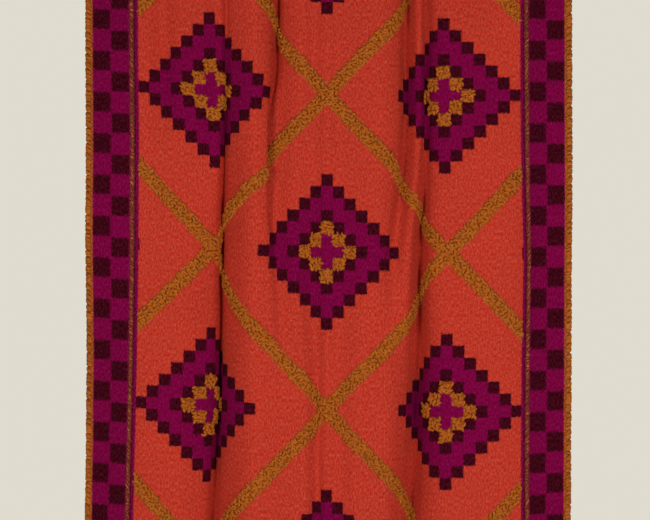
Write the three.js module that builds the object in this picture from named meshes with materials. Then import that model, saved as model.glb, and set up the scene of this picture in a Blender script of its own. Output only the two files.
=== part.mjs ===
// A wool blanket hanging by its top edge. One woven cloth falls in soft, uneven upright folds, and an
// overcast yarn edging runs along its four sides. Millimetres, +Z up, the face towards -Y.
// The origin is the middle of the top edge.

import * as THREE from "three";

// The blanket laid flat, edging included
const BLANKET_WIDTH = 1140;
const BLANKET_DROP = 1800;

// The cloth
const CLOTH_THICKNESS = 3;
const CENTRE_SAG = 10; // how far the middle hangs below the sides
const SIDE_TILT = 11; // how far the right side hangs below level, and the left above it
const SAG_DROP = 500; // drop by which sag and tilt are fully there

// The edging: a channel of overcast yarn that the raw edge of the cloth sits in
const EDGING_WIDTH = 16;
const EDGING_THICKNESS = 9;
const EDGING_WEB = 4; // yarn beyond the raw edge
const EDGING_EASE = 3; // run of the sloped faces that ease the outer corners
const EDGING_LIP = 1.2; // height of the lip beside the slot
const FIT_GAP = 0.4; // clearance between neighbouring pieces

// Drops below the top edge at which the fold lines are given
const STATION_DROPS = [0, 680, 850, 1050, 1330, 1800];

// Fold lines from left to right. At each station, across is the distance right of the middle,
// and reach is the distance towards the viewer from the centre ridge.
const FOLD_LINES = [
  { line: "left edge", across: [-489, -486, -485, -486, -486, -494], reach: [-36, -30, -22, -26, -50, -54] },
  { line: "left side", across: [-433, -433, -433, -434, -436, -443], reach: [-17, -14, -9, -12, -30, -33] },
  { line: "left panel", across: [-362, -364, -366, -366, -368, -372], reach: [-7, -7, -6, -8, -5, -4] },
  { line: "first nick", across: [-322, -330, -334, -336, -340, -344], reach: [-34, -29, -13, -4, -2, -2] },
  { line: "first pleat", across: [-288, -294, -298, -300, -304, -312], reach: [-5, -7, -6, 0, 1, 1] },
  { line: "second nick", across: [-258, -258, -264, -276, -288, -306], reach: [-22, -19, -12, 0, 0, 0] },
  { line: "slot fall", across: [-214, -214, -218, -227, -231, -260], reach: [-6, -7, -12, -28, -36, -26] },
  { line: "left slot", across: [-202, -203, -206, -211, -217, -240], reach: [-22, -30, -46, -68, -76, -52] },
  { line: "bulge rise", across: [-190, -190, -194, -199, -204, -218], reach: [-8, -12, -22, -34, -40, -28] },
  { line: "bulge crest", across: [-146, -145, -147, -150, -152, -154], reach: [18, 19, 20, 17, 18, 16] },
  { line: "bulge lip", across: [-121, -117, -120, -118, -108, -106], reach: [2, -4, 7, 9, 13, 13] },
  { line: "left deep", across: [-102, -101, -132, -106, -88, -86], reach: [-40, -56, -18, -12, 6, 6] },
  { line: "second rise", across: [-86, -87, -106, -92, -70, -68], reach: [-18, -26, -25, -10, 6, 6] },
  { line: "second ridge", across: [-52, -52, -62, -66, -46, -44], reach: [1, 0, -5, 2, 6, 6] },
  { line: "centre trough", across: [-26, -26, -26, -28, -20, -20], reach: [-11, -12, -12, -13, -13, -13] },
  { line: "centre ridge", across: [0, 0, 0, 0, -2, -2], reach: [0, 0, 0, 0, 0, 0] },
  { line: "centre dip", across: [22, 22, 22, 22, 24, 24], reach: [-10, -10, -8, -5, -4, -4] },
  { line: "third ridge", across: [106, 106, 102, 84, 62, 52], reach: [9, 9, 10, 8, 7, 6] },
  { line: "third shoulder", across: [143, 143, 140, 114, 94, 84], reach: [-16, -18, -15, 3, 5, 4] },
  { line: "right trough", across: [160, 160, 157, 137, 124, 112], reach: [-56, -64, -56, -12, 1, 1] },
  { line: "right nub", across: [185, 185, 183, 163, 156, 136], reach: [-24, -24, -24, 0, -20, -17] },
  { line: "right nick", across: [202, 202, 200, 189, 184, 160], reach: [-48, -56, -52, -36, -52, -42] },
  { line: "right shoulder", across: [218, 217, 216, 212, 204, 182], reach: [-20, -24, -20, -4, -14, -14] },
  { line: "right panel", across: [290, 290, 280, 254, 236, 222], reach: [-8, -8, -4, 4, 6, 7] },
  { line: "right swell", across: [368, 368, 368, 362, 356, 352], reach: [-2, -2, -2, 0, 1, 2] },
  { line: "right side", across: [439, 439, 440, 441, 439, 438], reach: [-26, -26, -26, -28, -22, -21] },
  { line: "right edge", across: [494, 494, 495, 496, 494, 492], reach: [-36, -36, -36, -38, -33, -32] },
];
const CENTRE_LINE = FOLD_LINES.findIndex((fold) => fold.line === "centre ridge");

// Fineness of the curves
const PATH_STEPS = 12; // chords between two fold lines
const SOLVE_ROUNDS = 26; // halvings in the search for the folds' true depth
const MAX_REACH_SCALE = 4; // upper end of that search
const NORMAL_SPAN = 2; // flat distance either way over which a normal is taken

// Places that follow from the sizes
const HALF_WIDTH = BLANKET_WIDTH / 2;
const RAW_EDGE_INSET = EDGING_WEB + FIT_GAP;
const RAW_HALF_WIDTH = HALF_WIDTH - RAW_EDGE_INSET;
const EDGED_HALF_WIDTH = HALF_WIDTH - EDGING_WIDTH;

// Facet lines of the cloth: close together among the folds, far apart on the flatter sides
const COLUMN_SPANS = [
  { to: -EDGED_HALF_WIDTH, steps: 1 },
  { to: -330, steps: 7 },
  { to: 250, steps: 48 },
  { to: EDGED_HALF_WIDTH, steps: 9 },
  { to: RAW_HALF_WIDTH, steps: 1 },
];
const ROW_SPANS = [
  { to: EDGING_WIDTH, steps: 1 },
  { to: 600, steps: 6 },
  { to: 1400, steps: 16 },
  { to: BLANKET_DROP - EDGING_WIDTH, steps: 4 },
  { to: BLANKET_DROP - RAW_EDGE_INSET, steps: 1 },
];

// Finishes
const CORAL_WOOL = new THREE.MeshStandardMaterial({ color: 0xb93a28, roughness: 0.95, metalness: 0 });
const MUSTARD_YARN = new THREE.MeshStandardMaterial({ color: 0x9f4e13, roughness: 0.9, metalness: 0 });

// A fold line's value at a drop, on a smooth curve through its values at the stations
function atDrop(values, drop) {
  const last = STATION_DROPS.length - 1;
  const slopeAt = (index) => {
    const before = Math.max(index - 1, 0);
    const after = Math.min(index + 1, last);
    return (values[after] - values[before]) / (STATION_DROPS[after] - STATION_DROPS[before]);
  };
  let start = 0;
  while (start < last - 1 && drop > STATION_DROPS[start + 1]) {
    start += 1;
  }
  const span = STATION_DROPS[start + 1] - STATION_DROPS[start];
  const t = (drop - STATION_DROPS[start]) / span;
  const ease = t * t * (3 - 2 * t);
  const leave = t * (1 - t) * (1 - t) * span * slopeAt(start);
  const arrive = t * t * (1 - t) * span * slopeAt(start + 1);
  return THREE.MathUtils.lerp(values[start], values[start + 1], ease) + leave - arrive;
}

// The cloth's cross-section at a drop, seen from above, with the folds' depths scaled on each half
function sectionPath(drop, leftScale, rightScale) {
  const points = FOLD_LINES.map((fold, index) => {
    const scale = index < CENTRE_LINE ? leftScale : rightScale;
    return new THREE.Vector3(atDrop(fold.across, drop), -scale * atDrop(fold.reach, drop), 0);
  });
  const curve = new THREE.CatmullRomCurve3(points, false, "centripetal");
  return curve.getPoints((FOLD_LINES.length - 1) * PATH_STEPS);
}

function pathLength(path, first, last) {
  let length = 0;
  for (let index = first; index < last; index += 1) {
    length += path[index].distanceTo(path[index + 1]);
  }
  return length;
}

// Wool hardly stretches, so the folds' depths are set to give each half its flat width.
// Each point of the section keeps its flat distance from the blanket's middle.
function hangSection(drop) {
  const middle = CENTRE_LINE * PATH_STEPS;
  const left = { low: 0, high: MAX_REACH_SCALE };
  const right = { low: 0, high: MAX_REACH_SCALE };
  const narrow = (range, scale, length) => {
    if (length > HALF_WIDTH) {
      range.high = scale;
    } else {
      range.low = scale;
    }
  };
  let path = [];
  for (let round = 0; round < SOLVE_ROUNDS; round += 1) {
    const leftScale = (left.low + left.high) / 2;
    const rightScale = (right.low + right.high) / 2;
    path = sectionPath(drop, leftScale, rightScale);
    narrow(left, leftScale, pathLength(path, 0, middle));
    narrow(right, rightScale, pathLength(path, middle, path.length - 1));
  }
  const flat = [-pathLength(path, 0, middle)];
  for (let index = 1; index < path.length; index += 1) {
    flat.push(flat[index - 1] + path[index].distanceTo(path[index - 1]));
  }
  return { path, flat };
}

const sections = new Map();

function sectionAt(drop) {
  if (!sections.has(drop)) {
    sections.set(drop, hangSection(drop));
  }
  return sections.get(drop);
}

// The point of a section at a flat distance from the middle
function alongSection(section, across) {
  const { path, flat } = section;
  let index = 1;
  while (index < flat.length - 1 && flat[index] < across) {
    index += 1;
  }
  const share = (across - flat[index - 1]) / (flat[index] - flat[index - 1]);
  return path[index - 1].clone().lerp(path[index], share);
}

// A point of the hung blanket from its flat place, lifted off the cloth's middle layer towards the viewer
function hungPoint(across, drop, lift) {
  const section = sectionAt(drop);
  const point = alongSection(section, across);
  const from = alongSection(section, Math.max(across - NORMAL_SPAN, -HALF_WIDTH));
  const to = alongSection(section, Math.min(across + NORMAL_SPAN, HALF_WIDTH));
  const along = to.sub(from).normalize();
  const share = across / HALF_WIDTH;
  const sag = CENTRE_SAG * (1 - share * share) + SIDE_TILT * share;
  const fall = drop + sag * THREE.MathUtils.smoothstep(drop, 0, SAG_DROP);
  return new THREE.Vector3(point.x + along.y * lift, point.y - along.x * lift, -fall);
}

// Stops from a start through spans of even steps
function stopsFrom(start, spans) {
  const stops = [start];
  for (const { to, steps } of spans) {
    const from = stops.at(-1);
    for (let step = 1; step <= steps; step += 1) {
      stops.push(THREE.MathUtils.lerp(from, to, step / steps));
    }
  }
  return stops;
}

// A closed solid swept through rings of points, closed at both ends by the given triangles of a ring
function sweptSolid(rings, capTriangles) {
  const size = rings[0].length;
  const triangles = [];
  for (let ring = 0; ring < rings.length - 1; ring += 1) {
    for (let point = 0; point < size; point += 1) {
      const here = ring * size + point;
      const beside = ring * size + ((point + 1) % size);
      triangles.push(here, here + size, beside + size);
      triangles.push(here, beside + size, beside);
    }
  }
  const lastRing = (rings.length - 1) * size;
  for (const [a, b, c] of capTriangles) {
    triangles.push(a, b, c);
    triangles.push(lastRing + a, lastRing + c, lastRing + b);
  }
  const geometry = new THREE.BufferGeometry().setFromPoints(rings.flat());
  geometry.setIndex(facingOut(rings.flat(), triangles));
  geometry.computeVertexNormals();
  return geometry;
}

// The triangles turned, if need be, so that the solid's volume is positive
function facingOut(points, triangles) {
  let volume = 0;
  for (let index = 0; index < triangles.length; index += 3) {
    const [a, b, c] = triangles.slice(index, index + 3).map((corner) => points[corner]);
    volume += a.dot(b.clone().cross(c));
  }
  return volume > 0 ? triangles : triangles.reverse();
}

// The cloth: front and back faces on the same folds, one ring to a row
function clothSolid() {
  const columns = stopsFrom(-RAW_HALF_WIDTH, COLUMN_SPANS);
  const rows = stopsFrom(RAW_EDGE_INSET, ROW_SPANS);
  const rings = rows.map((drop) => {
    const front = columns.map((across) => hungPoint(across, drop, CLOTH_THICKNESS / 2));
    const back = columns.map((across) => hungPoint(across, drop, -CLOTH_THICKNESS / 2));
    return front.concat(back.reverse());
  });
  const lastPoint = 2 * columns.length - 1;
  const capTriangles = [];
  for (let column = 0; column < columns.length - 1; column += 1) {
    capTriangles.push([column, column + 1, lastPoint - column]);
    capTriangles.push([column + 1, lastPoint - column - 1, lastPoint - column]);
  }
  return sweptSolid(rings, capTriangles);
}

// The edging's channel outline: x is the flat distance in from the blanket's edge, y the lift
function channelOutline() {
  const halfThick = EDGING_THICKNESS / 2;
  const halfSlot = CLOTH_THICKNESS / 2 + FIT_GAP;
  const lip = halfSlot + EDGING_LIP;
  const face = [
    new THREE.Vector2(EDGING_WEB, halfSlot),
    new THREE.Vector2(EDGING_WIDTH, halfSlot),
    new THREE.Vector2(EDGING_WIDTH, lip),
    new THREE.Vector2(EDGING_WIDTH - EDGING_EASE, halfThick),
    new THREE.Vector2(EDGING_EASE, halfThick),
    new THREE.Vector2(0, halfThick - EDGING_EASE / 2),
  ];
  const underside = face.map((point) => new THREE.Vector2(point.x, -point.y)).reverse();
  return face.concat(underside);
}

// Triangles that fill the outline, all turned the way the outline runs
function outlineTriangles(outline) {
  const turn = Math.sign(THREE.ShapeUtils.area(outline));
  return THREE.ShapeUtils.triangulateShape(outline, []).map(([a, b, c]) => {
    const same = Math.sign(THREE.ShapeUtils.area([outline[a], outline[b], outline[c]])) === turn;
    return same ? [a, b, c] : [a, c, b];
  });
}

// An edging swept along stops, with the flat place of each outline point given by place(stop, inward)
function edgingSolid(stops, place) {
  const outline = channelOutline();
  const rings = stops.map((stop) =>
    outline.map((point) => {
      const [across, drop] = place(stop, point.x);
      return hungPoint(across, drop, point.y);
    }),
  );
  return sweptSolid(rings, outlineTriangles(outline));
}

// The side edgings run the whole drop, on the cloth's own rows
const sideStops = [0, ...stopsFrom(EDGING_WIDTH, ROW_SPANS.slice(1, -1)), BLANKET_DROP];

// The top and bottom edgings lie between the side ones, on the cloth's own columns.
// The bottom one runs from right to left, so that its facets slant the way the cloth's do.
const innerColumns = stopsFrom(-EDGED_HALF_WIDTH, COLUMN_SPANS.slice(1, -1)).slice(1, -1);
const buttedHalfWidth = EDGED_HALF_WIDTH - FIT_GAP;
const topStops = [-buttedHalfWidth, ...innerColumns, buttedHalfWidth];
const bottomStops = topStops.toReversed();

function piece(name, geometry, material) {
  const mesh = new THREE.Mesh(geometry, material);
  mesh.name = name;
  return mesh;
}

const leftEdging = edgingSolid(sideStops, (drop, inward) => [-HALF_WIDTH + inward, drop]);
const rightEdging = edgingSolid(sideStops, (drop, inward) => [HALF_WIDTH - inward, drop]);
const topEdging = edgingSolid(topStops, (across, inward) => [across, inward]);
const bottomEdging = edgingSolid(bottomStops, (across, inward) => [across, BLANKET_DROP - inward]);

const blanket = new THREE.Group();
blanket.add(
  piece("cloth", clothSolid(), CORAL_WOOL),
  piece("edging_left", leftEdging, MUSTARD_YARN),
  piece("edging_right", rightEdging, MUSTARD_YARN),
  piece("edging_top", topEdging, MUSTARD_YARN),
  piece("edging_bottom", bottomEdging, MUSTARD_YARN),
);

export default blanket;
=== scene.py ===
import math

import bmesh
import bpy
import numpy as np
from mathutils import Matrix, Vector


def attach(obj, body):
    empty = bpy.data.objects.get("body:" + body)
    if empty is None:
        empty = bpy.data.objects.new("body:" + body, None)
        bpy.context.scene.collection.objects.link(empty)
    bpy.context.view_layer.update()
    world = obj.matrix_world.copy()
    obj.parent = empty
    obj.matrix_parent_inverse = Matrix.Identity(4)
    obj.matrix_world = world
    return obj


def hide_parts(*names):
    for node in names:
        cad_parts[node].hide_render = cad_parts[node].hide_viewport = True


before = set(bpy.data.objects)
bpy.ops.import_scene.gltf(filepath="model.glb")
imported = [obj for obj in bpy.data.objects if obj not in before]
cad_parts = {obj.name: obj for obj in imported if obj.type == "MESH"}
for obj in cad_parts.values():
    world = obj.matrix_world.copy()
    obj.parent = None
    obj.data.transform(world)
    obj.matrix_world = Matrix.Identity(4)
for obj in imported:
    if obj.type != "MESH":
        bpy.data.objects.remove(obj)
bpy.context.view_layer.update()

print("frame loaded, nodes:", len(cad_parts))

mm = 0.001
tiny = 1e-9                    # keeps the last stop of a range in, or out

# the blanket laid flat, edging included
blanket = {
    "width": 1140 * mm,
    "drop": 1800 * mm,
    "thickness": 3 * mm,
    "centreSag": 10 * mm,      # how far the middle hangs below the sides
    "sideTilt": 11 * mm,       # how far the right side hangs below level, and the left above it
    "sagDrop": 500 * mm,       # drop by which sag and tilt are fully there
    "rawEdge": 4.4 * mm,       # cloth stops this far inside the edging's outer line
}
halfWidth = blanket["width"] / 2
halfDrop = blanket["drop"] / 2
faceLift = blanket["thickness"] / 2

# fold lines from left to right, in millimetres: at each drop, how far across from the middle
# and how far towards the viewer
foldDrops = [0, 680, 850, 1050, 1330, 1800]
foldLines = [
    ("left edge", [-489, -486, -485, -486, -486, -494], [-36, -30, -22, -26, -50, -54]),
    ("left side", [-433, -433, -433, -434, -436, -443], [-17, -14, -9, -12, -30, -33]),
    ("left panel", [-362, -364, -366, -366, -368, -372], [-7, -7, -6, -8, -5, -4]),
    ("first nick", [-322, -330, -334, -336, -340, -344], [-34, -29, -13, -4, -2, -2]),
    ("first pleat", [-288, -294, -298, -300, -304, -312], [-5, -7, -6, 0, 1, 1]),
    ("second nick", [-258, -258, -264, -276, -288, -306], [-22, -19, -12, 0, 0, 0]),
    ("slot fall", [-214, -214, -218, -227, -231, -260], [-6, -7, -12, -28, -36, -26]),
    ("left slot", [-202, -203, -206, -211, -217, -240], [-22, -30, -46, -68, -76, -52]),
    ("bulge rise", [-190, -190, -194, -199, -204, -218], [-8, -12, -22, -34, -40, -28]),
    ("bulge crest", [-146, -145, -147, -150, -152, -154], [18, 19, 20, 17, 18, 16]),
    ("bulge lip", [-121, -117, -120, -118, -108, -106], [2, -4, 7, 9, 13, 13]),
    ("left deep", [-102, -101, -132, -106, -88, -86], [-40, -56, -18, -12, 6, 6]),
    ("second rise", [-86, -87, -106, -92, -70, -68], [-18, -26, -25, -10, 6, 6]),
    ("second ridge", [-52, -52, -62, -66, -46, -44], [1, 0, -5, 2, 6, 6]),
    ("centre trough", [-26, -26, -26, -28, -20, -20], [-11, -12, -12, -13, -13, -13]),
    ("centre ridge", [0, 0, 0, 0, -2, -2], [0, 0, 0, 0, 0, 0]),
    ("centre dip", [22, 22, 22, 22, 24, 24], [-10, -10, -8, -5, -4, -4]),
    ("third ridge", [106, 106, 102, 84, 62, 52], [9, 9, 10, 8, 7, 6]),
    ("third shoulder", [143, 143, 140, 114, 94, 84], [-16, -18, -15, 3, 5, 4]),
    ("right trough", [160, 160, 157, 137, 124, 112], [-56, -64, -56, -12, 1, 1]),
    ("right nub", [185, 185, 183, 163, 156, 136], [-24, -24, -24, 0, -20, -17]),
    ("right nick", [202, 202, 200, 189, 184, 160], [-48, -56, -52, -36, -52, -42]),
    ("right shoulder", [218, 217, 216, 212, 204, 182], [-20, -24, -20, -4, -14, -14]),
    ("right panel", [290, 290, 280, 254, 236, 222], [-8, -8, -4, 4, 6, 7]),
    ("right swell", [368, 368, 368, 362, 356, 352], [-2, -2, -2, 0, 1, 2]),
    ("right side", [439, 439, 440, 441, 439, 438], [-26, -26, -26, -28, -22, -21]),
    ("right edge", [494, 494, 495, 496, 494, 492], [-36, -36, -36, -38, -33, -32]),
]
centreLine = [name for name, across, reach in foldLines].index("centre ridge")
hang = {
    "chords": 12,              # chords between two fold lines
    "solveRounds": 26,
    "maxReachScale": 4.0,
    "columnStep": 2 * mm,      # spacing of the table of hung points
    "rowStep": 10 * mm,
    "margin": 16 * mm,         # how far that table runs past the cloth's edges
    "ripple": 0.7 * mm,        # small unevenness of hung wool
    "rippleWaves": [           # weight, then waves to multiply: radians a metre across and down, phase
        (1.0, [(31, 9, 0.4), (-7, 11, 1.9)]),
        (0.7, [(57, -16, 2.2), (13, 23, 0.0)]),
        (0.4, [(83, 47, 1.1)]),
    ],
}


def smoothStep(t):
    return t * t * (3 - 2 * t)


# from one value to the next, with a slope of its own at each end
def easeBetween(t, start, end, leave, arrive):
    ease = smoothStep(t)
    return start * (1 - ease) + end * ease + t * (1 - t) ** 2 * leave - t * t * (1 - t) * arrive


def valueAtDrop(values, drops):
    stations = np.array(foldDrops) * mm
    values = np.array(values) * mm
    last = len(stations) - 1
    behind = np.maximum(np.arange(last + 1) - 1, 0)
    ahead = np.minimum(np.arange(last + 1) + 1, last)
    slopes = (values[ahead] - values[behind]) / (stations[ahead] - stations[behind])
    k = np.clip(np.searchsorted(stations, drops) - 1, 0, last - 1)
    span = stations[k + 1] - stations[k]
    t = (drops - stations[k]) / span
    return easeBetween(t, values[k], values[k + 1], span * slopes[k], span * slopes[k + 1])


# smooth path through the fold lines of every row, as rows x points x 2
def sectionPaths(across, reach):
    points = np.stack([across, reach], -1)
    first = 2 * points[:, :1] - points[:, 1:2]
    last = 2 * points[:, -1:] - points[:, -2:-1]
    points = np.concatenate([first, points, last], 1)
    t = (np.arange(hang["chords"]) / hang["chords"])[None, :, None]

    # square root of a distance, which keeps the path from looping
    def rootOf(a, b):
        return np.sqrt(np.linalg.norm(b - a, axis=-1))[:, None]

    stretches = []
    for k in range(1, points.shape[1] - 2):
        p0, p1, p2, p3 = (points[:, k + step] for step in (-1, 0, 1, 2))
        d0, d1, d2 = rootOf(p0, p1), rootOf(p1, p2), rootOf(p2, p3)
        leave = ((p1 - p0) / d0 - (p2 - p0) / (d0 + d1) + (p2 - p1) / d1) * d1
        arrive = ((p2 - p1) / d1 - (p3 - p1) / (d1 + d2) + (p3 - p2) / d2) * d1
        stretches.append(easeBetween(t, *(a[:, None, :] for a in (p1, p2, leave, arrive))))
    return np.concatenate(stretches + [points[:, -2:-1]], 1)


# the cloth hardly stretches: fold depths are set so that each half has its flat width
def hangCloth(drops):
    across = np.stack([valueAtDrop(line[1], drops) for line in foldLines], 1)
    reach = np.stack([valueAtDrop(line[2], drops) for line in foldLines], 1)
    isLeft = (np.arange(len(foldLines)) < centreLine)[None, :]
    middle = centreLine * hang["chords"]
    low = np.zeros((2, len(drops)))
    high = np.full((2, len(drops)), hang["maxReachScale"])
    for _ in range(hang["solveRounds"]):
        scale = (low + high) / 2
        paths = sectionPaths(across, reach * np.where(isLeft, scale[0][:, None], scale[1][:, None]))
        chords = np.linalg.norm(np.diff(paths, axis=1), axis=2)
        lengths = np.stack([chords[:, :middle].sum(1), chords[:, middle:].sum(1)])
        tooLong = lengths > halfWidth
        high = np.where(tooLong, scale, high)
        low = np.where(tooLong, low, scale)
    print("fold depth scale", scale.min(1).round(2), scale.max(1).round(2))
    flat = np.concatenate([np.zeros((len(drops), 1)), np.cumsum(chords, 1)], 1) - lengths[0][:, None]
    return paths, flat


# a section's values at any flat place, run on straight past its ends
def alongSection(columns, flat, value):
    slopeIn = (value[1] - value[0]) / (flat[1] - flat[0])
    slopeOut = (value[-1] - value[-2]) / (flat[-1] - flat[-2])
    before = np.minimum(columns - flat[0], 0)
    after = np.maximum(columns - flat[-1], 0)
    return np.interp(columns, flat, value) + slopeIn * before + slopeOut * after


# table of hung points and normals on an even flat grid, a little past the cloth's edges
def makeHungTable():
    margin = hang["margin"]
    columns = np.arange(-halfWidth - margin, halfWidth + margin + tiny, hang["columnStep"])
    rows = np.arange(-margin, blanket["drop"] + margin + tiny, hang["rowStep"])
    inside = np.clip(rows, 0, blanket["drop"])
    paths, flat = hangCloth(inside)
    points = np.zeros((len(rows), len(columns), 3))
    for k in range(len(rows)):
        for axis in (0, 1):
            points[k, :, axis] = alongSection(columns, flat[k], paths[k, :, axis])
    points[:, :, 1] *= -1      # the viewer is on the minus side
    fade = smoothStep(np.clip(inside / blanket["sagDrop"], 0, 1))
    share = columns / halfWidth
    sag = blanket["centreSag"] * (1 - share ** 2) + blanket["sideTilt"] * share
    points[:, :, 2] = -rows[:, None] - fade[:, None] * sag[None, :]
    normals = np.cross(np.gradient(points, axis=0), np.gradient(points, axis=1))
    normals /= np.linalg.norm(normals, axis=2, keepdims=True)
    # slow unevenness, nowhere more than a millimetre and a half
    x, y = np.meshgrid(columns, rows)
    ripple = np.zeros(x.shape)
    for weight, waves in hang["rippleWaves"]:
        product = np.full(x.shape, weight)
        for across, down, phase in waves:
            product = product * np.sin(across * x + down * y + phase)
        ripple += product
    points += normals * (ripple * hang["ripple"])[:, :, None]
    return {"points": points, "normals": normals, "x0": columns[0], "y0": rows[0]}


hungTable = makeHungTable()


# places on the hung cloth from flat places, lifted off its middle layer towards the viewer
def hungPoints(across, drop, lift):
    points, normals = hungTable["points"], hungTable["normals"]
    rowCount, columnCount = points.shape[:2]
    column = np.clip((across - hungTable["x0"]) / hang["columnStep"], 0, columnCount - 1 - tiny)
    row = np.clip((drop - hungTable["y0"]) / hang["rowStep"], 0, rowCount - 1 - tiny)
    i, j = column.astype(int), row.astype(int)
    u, v = (column - i)[:, None], (row - j)[:, None]

    def blend(table):
        upper = table[j, i] * (1 - u) + table[j, i + 1] * u
        lower = table[j + 1, i] * (1 - u) + table[j + 1, i + 1] * u
        return upper * (1 - v) + lower * v

    return blend(points) + blend(normals) * np.asarray(lift)[:, None]


print("folds hung, table", hungTable["points"].shape)

# the woven design, flat sizes
design = {
    "edging": 16 * mm,
    "checkWide": 38 * mm,      # the two columns of checks in the border
    "cornerChecks": 2,
    "checksDown": 39,          # checks along a side between the corner ones
    "checksAcross": 23,
    "whipLine": 9 * mm,        # thin stitched line inside the checks
    "innerBand": 9 * mm,       # narrow magenta band beside the field
    "stitchShadowLine": 2.6 * mm,      # painted shadow: a maroon line where that band meets the stitched line
    "brightEdge": 1.0 * mm,    # how far magenta pile spreads over the dark checks
    "softEdge": 2.0 * mm,      # half width over which the two piles mingle
    "stray": 16 * mm,          # full range over which fibres stray across a colour's edge
    "strayNoise": (560.0, 4.0, 0.7),   # scale, detail and roughness
    "cellsAcross": 1.5,        # diamonds of the trellis across and down the field
    "cellsDown": 2.5,
    "rowShift": -0.5,          # where the rows of diamonds start, in cells
    "bandWide": 29 * mm,       # curly bands of the trellis
    "step": 24 * mm,           # steps of the stepped diamonds
    "centreSteps": 1,          # magenta out to this step
    "curlySteps": 2,           # then curly mustard
    "darkSteps": 3,            # then maroon
    "brightSteps": 5,          # then magenta
    "rimSteps": 6,             # then maroon
}
checksEnd = design["edging"] + design["cornerChecks"] * design["checkWide"]
whipEnd = checksEnd + design["whipLine"]
borderWide = whipEnd + design["innerBand"]
fieldHalfWidth = halfWidth - borderWide
fieldHalfDrop = halfDrop - borderWide
cellHalfWidth = fieldHalfWidth / design["cellsAcross"]
cellHalfDrop = fieldHalfDrop / design["cellsDown"]
bandSpacing = 2 * cellHalfWidth * cellHalfDrop / math.hypot(cellHalfWidth, cellHalfDrop)
checkTall = (blanket["drop"] - 2 * checksEnd) / design["checksDown"]
checkLong = (blanket["width"] - 2 * checksEnd) / design["checksAcross"]


# curly mustard at flat places: 1 for the rising bands, 2 for the falling ones, 3 for the diamonds, 0 for none
def curlyKind(x, y, inset):
    down = y - halfDrop
    cellX = x / cellHalfWidth
    cellY = down / cellHalfDrop + design["rowShift"]
    rising, falling = (cellX + cellY) / 2, (cellX - cellY) / 2
    offRising, offFalling = (np.abs(s - np.floor(s) - 0.5) * bandSpacing for s in (rising, falling))
    cellRising, cellFalling = np.round(rising), np.round(falling)
    dx = np.abs(x - (cellRising + cellFalling) * cellHalfWidth)
    dy = np.abs(down - (cellRising - cellFalling - design["rowShift"]) * cellHalfDrop)
    level = np.round(dx / design["step"]) + np.round(dy / design["step"])
    kind = np.where((level > design["centreSteps"]) & (level <= design["curlySteps"]), 3, 0)
    kind = np.where(offFalling < design["bandWide"] / 2 - inset, 2, kind)
    kind = np.where(offRising < design["bandWide"] / 2 - inset, 1, kind)
    inField = (np.abs(x) < fieldHalfWidth - inset) & (np.abs(down) < fieldHalfDrop - inset)
    return np.where(inField, kind, 0)


# wool colours, linear
wool = {
    "coral": (0.410, 0.0207, 0.0092),
    "magenta": (0.131, 0.0001, 0.0265),
    "maroon": (0.0265, 0.0001, 0.0020),
    "mustard": (0.370, 0.091, 0.0045),
    # painted shade: darker mustard for the cloth face between the curls and for the curls' roots
    "mustardPaintedShade": (0.335, 0.058, 0.001),
    "edging": (0.36, 0.096, 0.013),
    # painted shade: darker edging yarn on the stitches' side towards the cloth
    "edgingPaintedShade": (0.20, 0.043, 0.006),
    "whip": (0.385, 0.098, 0.038),
    # painted shade: dark colour for the stitched line's roots and for the cloth between its stitches
    "whipPaintedShade": (0.115, 0.011, 0.013),
    "coralFleck": (0.62, 0.130, 0.085),   # paler fibres in each colour
    "magentaFleck": (0.355, 0.008, 0.133),
    "maroonFleck": (0.122, 0.012, 0.037),
    "mustardFleck": (0.45, 0.190, 0.095),
}


def rgba(colour):
    return (*colour, 1.0)


# small helpers for node trees
def addNode(tree, kind, **settings):
    made = tree.nodes.new(kind)
    for name, value in settings.items():
        setattr(made, name, value)
    return made


def feed(tree, socket, value):
    if isinstance(value, bpy.types.NodeSocket):
        tree.links.new(value, socket)
    else:
        socket.default_value = value


def calc(tree, operation, a, b=None, c=None):
    made = addNode(tree, "ShaderNodeMath", operation=operation)
    for socket, value in zip(made.inputs, (a, b, c)):
        if value is not None:
            feed(tree, socket, value)
    return made.outputs[0]


def mixColour(tree, factor, a, b):
    made = addNode(tree, "ShaderNodeMix", data_type="RGBA")
    feed(tree, made.inputs["Factor"], factor)
    for socket, colour in zip(made.inputs[6:8], (a, b)):   # the two colour sockets
        feed(tree, socket, colour if isinstance(colour, bpy.types.NodeSocket) else rgba(colour))
    return made.outputs[2]


def scaleColour(tree, colour, gain):
    made = addNode(tree, "ShaderNodeVectorMath", operation="SCALE")
    feed(tree, made.inputs[0], colour)
    feed(tree, made.inputs["Scale"], gain)
    return made.outputs[0]


def noiseAt(tree, vector, scale, detail, roughness, output="Fac"):
    made = addNode(tree, "ShaderNodeTexNoise")
    feed(tree, made.inputs["Vector"], vector)
    made.inputs["Scale"].default_value = scale
    made.inputs["Detail"].default_value = detail
    made.inputs["Roughness"].default_value = roughness
    return made.outputs[output]


def mapped(tree, value, low, high, toLow=0.0, toHigh=1.0):
    made = addNode(tree, "ShaderNodeMapRange")
    feed(tree, made.inputs["Value"], value)
    for name, number in (("From Min", low), ("From Max", high), ("To Min", toLow), ("To Max", toHigh)):
        made.inputs[name].default_value = number
    return made.outputs["Result"]


def newGroup(name, inputs, outputs):
    group = bpy.data.node_groups.new(name, "ShaderNodeTree")
    for label, kind in inputs.items():
        group.interface.new_socket(name=label, in_out="INPUT", socket_type="NodeSocket" + kind)
    for label, kind in outputs.items():
        group.interface.new_socket(name=label, in_out="OUTPUT", socket_type="NodeSocket" + kind)
    return group, addNode(group, "NodeGroupInput"), addNode(group, "NodeGroupOutput")


def placeGroup(tree, group, **values):
    made = addNode(tree, "ShaderNodeGroup", node_tree=group)
    for name, value in values.items():
        feed(tree, made.inputs[name], value)
    return made.outputs


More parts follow.
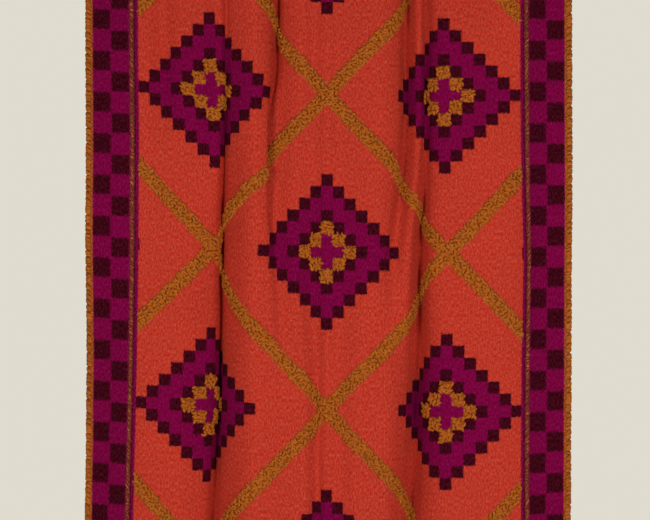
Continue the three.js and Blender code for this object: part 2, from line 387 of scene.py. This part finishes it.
# where each woven colour lies, from the flat place on the cloth
def makeDesignGroup():
    group, source, sink = newGroup(
        "wovenDesign",
        {"Flat": "Vector"},
        {"Dark": "Float", "Maroon": "Float", "Mustard": "Float", "Whip": "Float"},
    )
    flat = source.outputs["Flat"]
    noiseMiddle = (0.5, 0.5, 0.5)
    shift = addNode(group, "ShaderNodeVectorMath", operation="SUBTRACT")
    feed(group, shift.inputs[0], noiseAt(group, flat, *design["strayNoise"], output="Color"))
    shift.inputs[1].default_value = noiseMiddle
    sway = addNode(group, "ShaderNodeVectorMath", operation="MULTIPLY_ADD")
    feed(group, sway.inputs[0], shift.outputs[0])
    sway.inputs[1].default_value = (design["stray"], design["stray"], 0)
    feed(group, sway.inputs[2], flat)
    split = addNode(group, "ShaderNodeSeparateXYZ")
    feed(group, split.inputs[0], sway.outputs[0])
    x, y = split.outputs[0], split.outputs[1]

    def op(*values):
        return calc(group, *values)

    down = op("SUBTRACT", y, halfDrop)
    inX = op("SUBTRACT", halfWidth, op("ABSOLUTE", x))
    inY = op("SUBTRACT", halfDrop, op("ABSOLUTE", down))
    inward = op("MINIMUM", inX, inY)

    def inStrip(start, end):
        return op("MULTIPLY", op("GREATER_THAN", inward, start), op("LESS_THAN", inward, end))

    inEdging = op("LESS_THAN", inward, design["edging"])
    inChecks = inStrip(design["edging"], checksEnd)
    inWhip = inStrip(checksEnd, whipEnd)
    inBand = inStrip(whipEnd, borderWide)
    inStitchShadowLine = inStrip(whipEnd, whipEnd + design["stitchShadowLine"])
    inField = op("GREATER_THAN", inward, borderWide)

    # checks, counted from the corners
    def checkPlace(inFrom, along, pitch):
        corner = op("DIVIDE", op("SUBTRACT", inFrom, design["edging"]), design["checkWide"])
        between = op("ADD", op("DIVIDE", along, pitch), design["cornerChecks"])
        inCorner = op("LESS_THAN", inFrom, checksEnd)
        outOfCorner = op("SUBTRACT", 1.0, inCorner)
        return op("ADD", op("MULTIPLY", corner, inCorner), op("MULTIPLY", between, outOfCorner))

    def wellInside(place):
        offMiddle = op("ABSOLUTE", op("SUBTRACT", op("FRACT", place), 0.5))
        edge, soft = (design[name] / design["checkWide"] for name in ("brightEdge", "softEdge"))
        return mapped(group, offMiddle, 0.5 - edge - soft, 0.5 - edge + soft, 1.0, 0.0)

    checkX = checkPlace(inX, op("ADD", x, halfWidth - checksEnd), checkLong)
    checkY = checkPlace(inY, op("SUBTRACT", y, checksEnd), checkTall)
    number = op("ADD", op("FLOOR", checkX), op("FLOOR", checkY))
    even = op("SUBTRACT", 1.0, op("FLOORED_MODULO", number, 2.0))
    darkCheck = op("MULTIPLY", even, op("MULTIPLY", wellInside(checkX), wellInside(checkY)))

    # trellis bands and stepped diamonds
    def offBand(count):
        return op("MULTIPLY", op("ABSOLUTE", op("SUBTRACT", op("FRACT", count), 0.5)), bandSpacing)

    cellX = op("DIVIDE", x, cellHalfWidth)
    cellY = op("ADD", op("DIVIDE", down, cellHalfDrop), design["rowShift"])
    rising = op("MULTIPLY", op("ADD", cellX, cellY), 0.5)
    falling = op("MULTIPLY", op("SUBTRACT", cellX, cellY), 0.5)
    onBand = op("LESS_THAN", op("MINIMUM", offBand(rising), offBand(falling)), design["bandWide"] / 2)
    cellRising, cellFalling = op("ROUND", rising), op("ROUND", falling)
    centreX = op("MULTIPLY", op("ADD", cellRising, cellFalling), cellHalfWidth)
    rowNumber = op("SUBTRACT", op("SUBTRACT", cellRising, cellFalling), design["rowShift"])
    centreY = op("MULTIPLY", rowNumber, cellHalfDrop)
    stepsX = op("ROUND", op("DIVIDE", op("ABSOLUTE", op("SUBTRACT", x, centreX)), design["step"]))
    stepsY = op("ROUND", op("DIVIDE", op("ABSOLUTE", op("SUBTRACT", down, centreY)), design["step"]))
    level = op("ADD", stepsX, stepsY)

    def upTo(name):
        return op("LESS_THAN", level, design[name] + 0.5)

    def between(inner, outer):
        return op("SUBTRACT", upTo(outer), upTo(inner))

    offTrellis = op("MULTIPLY", inField, op("SUBTRACT", 1.0, onBand))
    motif = op("SUBTRACT", upTo("rimSteps"), between("centreSteps", "curlySteps"))
    maroonSteps = op("ADD", between("curlySteps", "darkSteps"), between("brightSteps", "rimSteps"))
    curly = op("MAXIMUM", onBand, between("centreSteps", "curlySteps"))
    dark = op("ADD", op("ADD", inChecks, inBand), op("MULTIPLY", offTrellis, motif))
    maroon = op("ADD", op("MULTIPLY", inChecks, darkCheck), op("MULTIPLY", offTrellis, maroonSteps))
    # painted shadow beside the stitched line, in maroon
    maroon = op("ADD", maroon, inStitchShadowLine)
    mustard = op("ADD", inEdging, op("MULTIPLY", inField, curly))
    for name, value in (("Dark", dark), ("Maroon", maroon), ("Mustard", mustard), ("Whip", inWhip)):
        feed(group, sink.inputs[name], value)
    return group


# heathered fibres: lighter and darker threads, pale flecks, and a fuzzy height
heather = {
    "fine": (480.0, 3.0, 0.65),        # scale, detail and roughness of each noise
    "broad": (150.0, 2.0, 0.5),
    "slow": (7.0, 2.0, 0.5),
    "spots": (330.0, 3.0, 0.6),
    "spotStretch": (1.0, 0.45, 1.0),   # flecks are longer down the cloth
    "noiseRange": (0.3, 0.7),
    "spotRange": (0.42, 0.80),
    "shade": {"fine": 0.40, "broad": 0.18, "slow": 0.07},   # how much lighter or darker
    "height": {"fine": 0.6, "broad": 0.4},
}


def makeHeatherGroup():
    group, source, sink = newGroup(
        "heatheredWool",
        {"Place": "Vector", "Colour": "Color", "Fleck": "Color", "Flecks": "Float", "Grain": "Float"},
        {"Colour": "Color", "Height": "Float"},
    )
    place = source.outputs["Place"]
    noises = {name: noiseAt(group, place, *heather[name]) for name in heather["shade"]}
    shades = [mapped(group, noises[name], *heather["noiseRange"], -amount, amount)
              for name, amount in heather["shade"].items()]
    shade = calc(group, "ADD", calc(group, "ADD", shades[0], shades[1]), shades[2])
    gain = calc(group, "MULTIPLY_ADD", shade, source.outputs["Grain"], 1.0)
    shaded = scaleColour(group, source.outputs["Colour"], gain)
    stretched = addNode(group, "ShaderNodeVectorMath", operation="MULTIPLY")
    feed(group, stretched.inputs[0], place)
    stretched.inputs[1].default_value = heather["spotStretch"]
    spots = noiseAt(group, stretched.outputs[0], *heather["spots"])
    fleck = calc(group, "MULTIPLY", mapped(group, spots, *heather["spotRange"]), source.outputs["Flecks"])
    heights = [calc(group, "MULTIPLY", noises[name], amount) for name, amount in heather["height"].items()]
    feed(group, sink.inputs["Colour"], mixColour(group, fleck, shaded, source.outputs["Fleck"]))
    feed(group, sink.inputs["Height"], calc(group, "ADD", *heights))
    return group


designGroup = makeDesignGroup()
heatherGroup = makeHeatherGroup()

# how the two kinds of surface take the light
clothFinish = {
    "roughness": 0.95,
    "specular": 0.02,
    "sheen": 0.02,
    "sheenRoughness": 0.6,
    "sheenTint": (0.9, 0.3, 0.2),
    "flecks": 0.6,
    "grain": 0.6,
    "bump": 0.55,
    "bumpDepth": 1.2 * mm,
}
yarnFinish = {
    "roughness": 0.9,
    "specular": 0.02,
    "sheen": 0.03,
    "sheenRoughness": 0.6,
    "sheenTint": (0.95, 0.6, 0.2),
    "flecks": 0.35,
    "grain": {"mustard": 0.4, "edging": 0.8, "whip": 0.7},   # for each yarn's light colour
    "bump": 0.5,
    "bumpDepth": 1.0 * mm,
}


def startMaterial(name, finish):
    material = bpy.data.materials.new(name)
    material.use_nodes = True
    tree = material.node_tree
    shader = tree.nodes["Principled BSDF"]
    shader.inputs["Roughness"].default_value = finish["roughness"]
    shader.inputs["Specular IOR Level"].default_value = finish["specular"]
    shader.inputs["Sheen Weight"].default_value = finish["sheen"]
    shader.inputs["Sheen Roughness"].default_value = finish["sheenRoughness"]
    shader.inputs["Sheen Tint"].default_value = rgba(finish["sheenTint"])
    return material, tree, shader


def finishMaterial(tree, shader, fibres, finish):
    bump = addNode(tree, "ShaderNodeBump")
    bump.inputs["Strength"].default_value = finish["bump"]
    bump.inputs["Distance"].default_value = finish["bumpDepth"]
    feed(tree, bump.inputs["Height"], fibres["Height"])
    feed(tree, shader.inputs["Base Color"], fibres["Colour"])
    feed(tree, shader.inputs["Normal"], bump.outputs["Normal"])


# brushed cloth with the design woven in
# the face shows painted shade, a deeper mustard, between its curls and under the edging; the back plain
# mustard
def makeClothMaterial(name, mustard):
    material, tree, shader = startMaterial(name, clothFinish)
    flat = addNode(tree, "ShaderNodeUVMap", uv_map="flat").outputs["UV"]
    masks = placeGroup(tree, designGroup, Flat=flat)
    layers = [
        ("Dark", wool["magenta"], wool["magentaFleck"]),
        ("Maroon", wool["maroon"], wool["maroonFleck"]),
        ("Mustard", mustard, wool["mustardFleck"]),
        # painted shade: the cloth under the stitched line is dark, for the gaps between its stitches
        ("Whip", wool["whipPaintedShade"], wool["whip"]),
    ]
    colour, fleck = wool["coral"], wool["coralFleck"]
    for mask, layerColour, layerFleck in layers:
        colour = mixColour(tree, masks[mask], colour, layerColour)
        fleck = mixColour(tree, masks[mask], fleck, layerFleck)
    fibres = placeGroup(tree, heatherGroup, Place=flat, Colour=colour, Fleck=fleck,
                        Flecks=clothFinish["flecks"], Grain=clothFinish["grain"])
    finishMaterial(tree, shader, fibres, clothFinish)
    return material


# yarn that lies proud of the cloth: painted shade at its root or on its side towards the cloth, tone changing
# from stitch to stitch
def makeYarnMaterial(name, light, deep, fleck):
    material, tree, shader = startMaterial(name, yarnFinish)
    place = addNode(tree, "ShaderNodeTexCoord").outputs["Object"]
    rise = addNode(tree, "ShaderNodeAttribute", attribute_name="rise").outputs["Fac"]
    tone = addNode(tree, "ShaderNodeAttribute", attribute_name="tone").outputs["Fac"]
    # painted shade: deep colour where rise is low, the yarn's own colour where it is high
    toned = scaleColour(tree, mixColour(tree, rise, wool[deep], wool[light]), tone)
    fibres = placeGroup(tree, heatherGroup, Place=place, Colour=toned, Fleck=rgba(wool[fleck]),
                        Flecks=yarnFinish["flecks"], Grain=yarnFinish["grain"][light])
    finishMaterial(tree, shader, fibres, yarnFinish)
    return material


# painted shade: the face's mustard is the deeper one, for the shade between its curls
clothFace = makeClothMaterial("brushedWoolFace", wool["mustardPaintedShade"])
clothBack = makeClothMaterial("brushedWoolBack", wool["mustard"])
curlyYarn = makeYarnMaterial("curlyMustardYarn", "mustard", "mustardPaintedShade", "mustardFleck")
edgingYarn = makeYarnMaterial("edgingMustardYarn", "edging", "edgingPaintedShade", "edging")
whipYarn = makeYarnMaterial("whipStitchYarn", "whip", "whipPaintedShade", "whip")
print("materials made")

# the cloth: a grid of flat places hung on the folds, given its thickness
clothPiece = {
    "breaks": [-330 * mm, 250 * mm],   # the columns are closer between these places
    "columns": [24, 145, 30],          # columns left of, between and right of them
    "rows": 150,
}


def makeCloth():
    rawHalf = halfWidth - blanket["rawEdge"]
    ends = [-rawHalf, *clothPiece["breaks"], rawHalf]
    spans = zip(ends, ends[1:], clothPiece["columns"])
    stops = [np.linspace(start, end, count, endpoint=False) for start, end, count in spans]
    columns = np.concatenate(stops + [[rawHalf]])
    rows = np.linspace(blanket["rawEdge"], blanket["drop"] - blanket["rawEdge"], clothPiece["rows"] + 1)
    bm = bmesh.new()
    bmesh.ops.create_grid(bm, x_segments=len(columns) - 1, y_segments=len(rows) - 1, size=1.0)
    places = np.array([vert.co[:2] for vert in bm.verts])
    across = columns[np.round((places[:, 0] + 1) / 2 * (len(columns) - 1)).astype(int)]
    drop = rows[np.round((1 - places[:, 1]) / 2 * (len(rows) - 1)).astype(int)]
    hung = hungPoints(across, drop, np.zeros(len(across)))
    for vert, co in zip(bm.verts, hung):
        vert.co = co
    bm.verts.index_update()
    flat = bm.loops.layers.uv.new("flat")
    for face in bm.faces:
        face.smooth = True
        for loop in face.loops:
            k = loop.vert.index
            loop[flat].uv = (across[k], drop[k])
    mesh = bpy.data.meshes.new("cloth")
    bm.to_mesh(mesh)
    bm.free()
    piece = bpy.data.objects.new("wovenCloth", mesh)
    bpy.context.collection.objects.link(piece)
    mesh.materials.append(clothFace)
    mesh.materials.append(clothBack)
    thicken = piece.modifiers.new("thickness", "SOLIDIFY")
    thicken.thickness = blanket["thickness"]
    thicken.offset = 0.0
    thicken.use_rim = True
    thicken.material_offset = 1
    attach(piece, "root")
    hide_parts("cloth")
    return piece


cloth = makeCloth()
print("cloth made, faces", len(cloth.data.polygons))


# tufts and stitches are worked out in arrays of tufts x rings x sides
def perTuft(values):
    return np.asarray(values)[:, None, None]


def perRing(values):
    return np.asarray(values)[None, :, None]


def perSide(values):
    return np.asarray(values)[None, None, :]


def ringAngles(sides):
    return perSide(np.arange(sides) * 2 * math.pi / sides)


# girth along a tuft, from -1 to 1: full in the middle, rounded off to a share of it at both ends
def roundedEnds(share, power, endSize):
    return np.sqrt(np.clip(1 - share ** power, 0, 1)) * (1 - endSize) + endSize


# many like tufts or stitches as one mesh, from the flat places of their points
def joinTufts(name, across, drop, lift, rise, tone, material):
    tufts, rings, sides = across.shape
    points = hungPoints(across.ravel(), drop.ravel(), lift.ravel())
    size = rings * sides
    starts = np.arange(tufts)[:, None] * size
    ring = np.arange(rings - 1)[:, None] * sides
    side = np.arange(sides)
    beside = (side + 1) % sides
    corners = [ring + side, ring + beside, ring + sides + beside, ring + sides + side]
    quads = (starts[:, :, None] + np.stack(corners, -1).reshape(1, -1, 4)).reshape(-1, 4)
    caps = np.concatenate([starts + side[::-1], starts + size - sides + side])
    mesh = bpy.data.meshes.new(name)
    mesh.vertices.add(len(points))
    mesh.vertices.foreach_set("co", points.ravel())
    mesh.loops.add(quads.size + caps.size)
    mesh.loops.foreach_set("vertex_index", np.concatenate([quads.ravel(), caps.ravel()]))
    mesh.polygons.add(len(quads) + len(caps))
    quadStarts = np.arange(len(quads)) * 4
    capStarts = quads.size + np.arange(len(caps)) * sides
    mesh.polygons.foreach_set("loop_start", np.concatenate([quadStarts, capStarts]))
    mesh.polygons.foreach_set("use_smooth", np.ones(len(quads) + len(caps), dtype=bool))
    mesh.update(calc_edges=True)
    mesh.validate()
    for label, values in (("rise", rise), ("tone", tone)):
        layer = mesh.attributes.new(label, "FLOAT", "POINT")
        layer.data.foreach_set("value", np.broadcast_to(values, across.shape).ravel())
    mesh.materials.append(material)
    piece = bpy.data.objects.new(name, mesh)
    bpy.context.collection.objects.link(piece)
    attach(piece, "root")
    print(name, "tufts", tufts, "faces", len(mesh.polygons))
    return piece


# curly tufts of the bands and diamonds
curls = {
    "pitch": 6.4 * mm,
    "rowPitch": 0.87,          # share of the pitch from row to row
    "jitter": 0.40,            # share of the pitch
    "inset": 1.8 * mm,         # how far a tuft's middle stays inside its band
    "length": (9 * mm, 13 * mm),
    "thick": (2.6 * mm, 3.3 * mm),   # half width
    "flatten": 0.9,            # height of a tuft's section to its width
    "arch": (1.2 * mm, 2.8 * mm),
    "clear": 0.3 * mm,         # how far its ends' middle stands off the face
    "bend": 0.9,               # most sideways curl, to either side
    "bow": 2.0,                # how steeply a curl swings aside towards its ends
    "bowBack": 0.2,            # share of the length it is set back, to stay over its place
    "endPower": 4,             # how late a tuft begins to narrow
    "endSize": 0.2,            # share of its girth left at the ends
    "rootHeight": 3.6 * mm,    # the painted shade at the roots has faded out at this height
    "tone": (0.88, 1.10),
    "sides": 5,
    "stops": (-0.5, -0.32, 0.0, 0.32, 0.5),
    "seed": 7,
    "pieces": {1: "curlsRisingBands", 2: "curlsFallingBands", 3: "curlsDiamonds"},
}


def makeCurls():
    rng = np.random.default_rng(curls["seed"])
    pitch = curls["pitch"]
    columns = np.arange(-fieldHalfWidth, fieldHalfWidth, pitch)
    rows = np.arange(halfDrop - fieldHalfDrop, halfDrop + fieldHalfDrop, pitch * curls["rowPitch"])
    x, y = np.meshgrid(columns, rows)
    x = x + (np.arange(len(rows)) % 2)[:, None] * pitch / 2
    x = (x + rng.uniform(-1, 1, x.shape) * curls["jitter"] * pitch).ravel()
    y = (y + rng.uniform(-1, 1, y.shape) * curls["jitter"] * pitch).ravel()
    kind = curlyKind(x, y, curls["inset"])
    keep = kind > 0
    x, y, kind = perTuft(x[keep]), perTuft(y[keep]), kind[keep]
    count = len(kind)
    turn = perTuft(rng.uniform(0, 2 * math.pi, count))
    length = perTuft(rng.uniform(*curls["length"], count))
    thick = perTuft(rng.uniform(*curls["thick"], count))
    arch = perTuft(rng.uniform(*curls["arch"], count))
    bend = perTuft(rng.uniform(-1, 1, count) * curls["bend"])
    tone = perTuft(rng.uniform(*curls["tone"], count))
    t = perRing(curls["stops"])
    angle = ringAngles(curls["sides"])
    radius = thick * roundedEnds(2 * t, curls["endPower"], curls["endSize"])
    # each ring stands across the tuft's own line
    slope = bend * 2 * curls["bow"] * t
    norm = np.sqrt(1 + slope ** 2)
    out = radius * np.cos(angle)
    along = length * t - slope / norm * out
    aside = bend * length * (curls["bow"] * t ** 2 - curls["bowBack"]) + out / norm
    across = x + along * np.cos(turn) - aside * np.sin(turn)
    drop = y + along * np.sin(turn) + aside * np.cos(turn)
    height = arch * (1 - (2 * t) ** 2) + radius * np.sin(angle) * curls["flatten"] + curls["clear"]
    # painted shade: the deep colour near the cloth, fading out by rootHeight
    rise = np.clip(height / curls["rootHeight"], 0, 1)
    lift = height + faceLift
    pieces = []
    for code, name in curls["pieces"].items():
        these = kind == code
        piece = joinTufts(name, *(values[these] for values in (across, drop, lift, rise, tone)), curlyYarn)
        pieces.append(piece)
    return pieces


curlPieces = makeCurls()

# overcast stitches round the raw edges
stitches = {
    "pitch": 6.0 * mm,
    "jitter": 2.6 * mm,
    "halfWide": 4.2 * mm,      # yarn's half width along the edge
    "halfThick": 2.6 * mm,
    "reachIn": 14.5 * mm,      # how far a stitch reaches in from the edge
    "reachUneven": (-0.10, 0.08),
    "outer": 2.8 * mm,         # where its line turns over the edge
    "proud": 3.0 * mm,         # its line's height over the cloth's middle
    "rootHigh": 1.9 * mm,      # and where it goes into the cloth
    "shoulder": 0.45,          # share of the straight by which it stands fully proud
    "slant": (0.5 * mm, 10.0 * mm),  # lean along the edge, face to back
    "uneven": (0.75, 1.20),    # size from stitch to stitch
    "endPower": 8,
    "endSize": 0.3,
    "riseMiddle": 0.55,        # own colour on the yarn's outer side, painted shade on its inner one, towards the cloth
    "riseSwing": 0.45,
    "tone": (0.78, 1.14),
    "sides": 6,
    "turnSteps": 5,
    "seed": 11,
}


# a stitch's line from face to back: distances in from the edge, and heights
def stitchLine():
    straight = stitches["reachIn"] - stitches["outer"] - stitches["proud"]
    inward = [stitches["reachIn"], stitches["reachIn"] - straight * stitches["shoulder"]]
    lift = [stitches["rootHigh"], stitches["proud"]]
    for k in range(stitches["turnSteps"] + 1):
        angle = math.pi * (0.5 + k / stitches["turnSteps"])
        inward.append(stitches["outer"] + stitches["proud"] * (1 + math.cos(angle)))
        lift.append(stitches["proud"] * math.sin(angle))
    inward += inward[1::-1]
    lift += [-value for value in lift[1::-1]]
    return np.array(inward), np.array(lift)


def makeEdging(name, node, length, start, place, seedStep):
    rng = np.random.default_rng(stitches["seed"] + seedStep)
    inward, lift = stitchLine()
    stepIn, stepUp = np.gradient(inward), np.gradient(lift)
    norm = np.hypot(stepIn, stepUp)
    count = int(round(length / stitches["pitch"]))
    at = start + (np.arange(count) + 0.5) * length / count + rng.uniform(-1, 1, count) * stitches["jitter"]
    lean = perTuft(rng.uniform(*stitches["slant"], count))
    size = perTuft(rng.uniform(*stitches["uneven"], count))
    reach = perTuft(1 + rng.uniform(*stitches["reachUneven"], count))
    tone = perTuft(rng.uniform(*stitches["tone"], count))
    share = perRing(np.linspace(-1, 1, len(inward)))
    angle = ringAngles(stitches["sides"])
    body = size * roundedEnds(share, stitches["endPower"], stitches["endSize"])
    thick = stitches["halfThick"] * body * np.sin(angle)
    alongEdge = perTuft(at) - lean * share + stitches["halfWide"] * body * np.cos(angle)
    alongEdge = np.clip(alongEdge, start, start + length)
    inwards = perRing(inward) * reach + perRing(stepUp / norm) * thick
    lifts = perRing(lift) - perRing(stepIn / norm) * thick
    across, drop = place(alongEdge, inwards)
    # painted shade on the yarn's inner side, towards the cloth; own colour on its outer side
    rise = np.clip(stitches["riseMiddle"] + stitches["riseSwing"] * np.sin(angle), 0, 1)
    piece = joinTufts(name, across, drop, lifts, rise, tone, edgingYarn)
    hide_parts(node)
    return piece


# each edge: its length and start, and the flat place of a point s along it and w in from it
edgeLength = blanket["width"] - 2 * design["edging"]
edges = [
    ("edgingLeft", "edging_left", blanket["drop"], 0.0, lambda s, w: (w - halfWidth, s)),
    ("edgingRight", "edging_right", blanket["drop"], 0.0, lambda s, w: (halfWidth - w, s)),
    ("edgingTop", "edging_top", edgeLength, -edgeLength / 2, lambda s, w: (s, w)),
    ("edgingBottom", "edging_bottom", edgeLength, -edgeLength / 2, lambda s, w: (s, blanket["drop"] - w)),
]
edgingPieces = [makeEdging(*edge, seedStep) for seedStep, edge in enumerate(edges)]

# small slanted stitches on the thin line between the checks and the field
whip = {
    "pitch": 5.6 * mm,
    "jitter": 2.4 * mm,        # along the line
    "stray": 1.1 * mm,         # across it
    "long": (5.5 * mm, 9.0 * mm),
    "lean": (0.5 * mm, 6.5 * mm),
    "half": (1.1 * mm, 2.3 * mm),
    "high": 1.2 * mm,
    "endPower": 4,
    "endSize": 0.25,
    "rootHeight": 2.4 * mm,    # the painted shade at the roots has faded out at this height
    "tone": (0.45, 1.25),
    "sides": 5,
    "stops": (-0.5, -0.3, 0.0, 0.3, 0.5),
    "seed": 23,
}


def makeWhipLine():
    rng = np.random.default_rng(whip["seed"])
    inset = (checksEnd + whipEnd) / 2
    x0, y0 = halfWidth - inset, halfDrop - inset
    runs = [                   # left, right, top and bottom: length, and the flat place of a point
        (2 * y0, lambda s, w: (-x0 + w, halfDrop - y0 + s)),
        (2 * y0, lambda s, w: (x0 - w, halfDrop - y0 + s)),
        (2 * x0, lambda s, w: (-x0 + s, halfDrop - y0 + w)),
        (2 * x0, lambda s, w: (-x0 + s, halfDrop + y0 - w)),
    ]
    t = perRing(whip["stops"])
    angle = ringAngles(whip["sides"])
    body = roundedEnds(2 * t, whip["endPower"], whip["endSize"])
    stitched = []
    for length, place in runs:
        count = int(round(length / whip["pitch"]))
        at = (np.arange(count) + 0.5) * length / count + rng.uniform(-1, 1, count) * whip["jitter"]
        stray = perTuft(rng.uniform(-1, 1, count) * whip["stray"])
        long = perTuft(rng.uniform(*whip["long"], count))
        lean = perTuft(rng.uniform(*whip["lean"], count))
        radius = perTuft(rng.uniform(*whip["half"], count)) * body
        tone = perTuft(rng.uniform(*whip["tone"], count))
        s = perTuft(at) + lean * t * 2 + radius * np.cos(angle)
        height = whip["high"] * (1 - (2 * t) ** 2) + radius * np.sin(angle)
        stitched.append(np.broadcast_arrays(*place(s, stray + long * t), height, tone))
    across, drop, height, tone = (np.concatenate(values) for values in zip(*stitched))
    # painted shade: the deep colour near the cloth, fading out by rootHeight
    rise = np.clip(height / whip["rootHeight"], 0, 1)
    piece = joinTufts("whipLine", across, drop, height + faceLift, rise, tone, whipYarn)
    return piece


whipPiece = makeWhipLine()

# studio: pale floor, soft lamps on both sides and behind, camera square to the face
studio = {
    "scale": 2.0 * mm,         # real size of a pixel of the picture
    "pixelsAcross": 650,
    "centre": (-4 * mm, -1084 * mm),
    "distance": 4.0,
    "sensor": 36.0,
    "floorDrop": 1.95,
    "floorHalf": 2.5,          # its far edge stays just below the picture
    "floorParts": 4,
    "floorRoughness": 0.9,
    "floorGlow": 0.80,         # share of the backdrop's paleness that the floor shows by itself
    "floorShade": 0.06,        # and share that it shows of the lamps' light
    "pale": (0.745, 0.708, 0.624),
    "ambient": 0.09,
    "lamps": {                 # place, size and power
        "right": ((1.5, -2.5, -1.22), (0.8, 1.1), 47.0),
        "left": ((-1.5, -2.5, -1.22), (0.8, 1.1), 42.0),
        "back": ((-1.2, 4.0, -0.9), (1.2, 1.4), 90.0),
    },
}


def makeCamera():
    camera = bpy.data.cameras.new("camera")
    camera.sensor_width = studio["sensor"]
    camera.lens = studio["sensor"] * studio["distance"] / (studio["pixelsAcross"] * studio["scale"])
    holder = bpy.data.objects.new("camera", camera)
    holder.location = (studio["centre"][0], -studio["distance"], studio["centre"][1])
    holder.rotation_euler = (math.pi / 2, 0, 0)
    bpy.context.collection.objects.link(holder)
    bpy.context.scene.camera = holder


# two soft lamps light the face from the sides, one the back
def makeLamps():
    for name, (place, size, power) in studio["lamps"].items():
        light = bpy.data.lights.new(name, "AREA")
        light.shape = "RECTANGLE"
        light.size, light.size_y = size
        light.energy = power
        lamp = bpy.data.objects.new(name, light)
        lamp.location = place
        towards = Vector((0, 0, studio["centre"][1])) - lamp.location
        lamp.rotation_euler = towards.to_track_quat("-Z", "Y").to_euler()
        bpy.context.collection.objects.link(lamp)


# the pale backdrop is the world itself; it lights the cloth less than it shows
def makeBackdrop():
    world = bpy.data.worlds.new("paleRoom")
    world.use_nodes = True
    tree = world.node_tree
    shown = tree.nodes["Background"]
    shown.inputs["Color"].default_value = rgba(studio["pale"])
    lit = addNode(tree, "ShaderNodeBackground")
    lit.inputs["Color"].default_value = rgba(studio["pale"])
    lit.inputs["Strength"].default_value = studio["ambient"]
    choose = addNode(tree, "ShaderNodeMixShader")
    feed(tree, choose.inputs[0], addNode(tree, "ShaderNodeLightPath").outputs["Is Camera Ray"])
    feed(tree, choose.inputs[1], lit.outputs[0])
    feed(tree, choose.inputs[2], shown.outputs[0])
    feed(tree, tree.nodes["World Output"].inputs["Surface"], choose.outputs[0])
    bpy.context.scene.world = world
    bpy.context.scene.view_settings.view_transform = "Standard"


def makeFloor():
    bm = bmesh.new()
    parts = studio["floorParts"]
    bmesh.ops.create_grid(bm, x_segments=parts, y_segments=parts, size=studio["floorHalf"])
    bmesh.ops.translate(bm, verts=bm.verts, vec=(0, 0, -studio["floorDrop"]))
    mesh = bpy.data.meshes.new("floor")
    bm.to_mesh(mesh)
    bm.free()
    floor = bpy.data.objects.new("floor", mesh)
    bpy.context.collection.objects.link(floor)
    material = bpy.data.materials.new("paleFloor")
    material.use_nodes = True
    tree = material.node_tree
    shader = tree.nodes["Principled BSDF"]
    shader.inputs["Roughness"].default_value = studio["floorRoughness"]
    shader.inputs["Emission Color"].default_value = rgba(studio["pale"])
    seen = addNode(tree, "ShaderNodeLightPath").outputs["Is Camera Ray"]
    dim = [value * studio["floorShade"] for value in studio["pale"]]
    feed(tree, shader.inputs["Base Color"], mixColour(tree, seen, studio["pale"], dim))
    feed(tree, shader.inputs["Emission Strength"], calc(tree, "MULTIPLY", seen, studio["floorGlow"]))
    mesh.materials.append(material)


makeCamera()
makeLamps()
makeBackdrop()
makeFloor()
print("studio set")
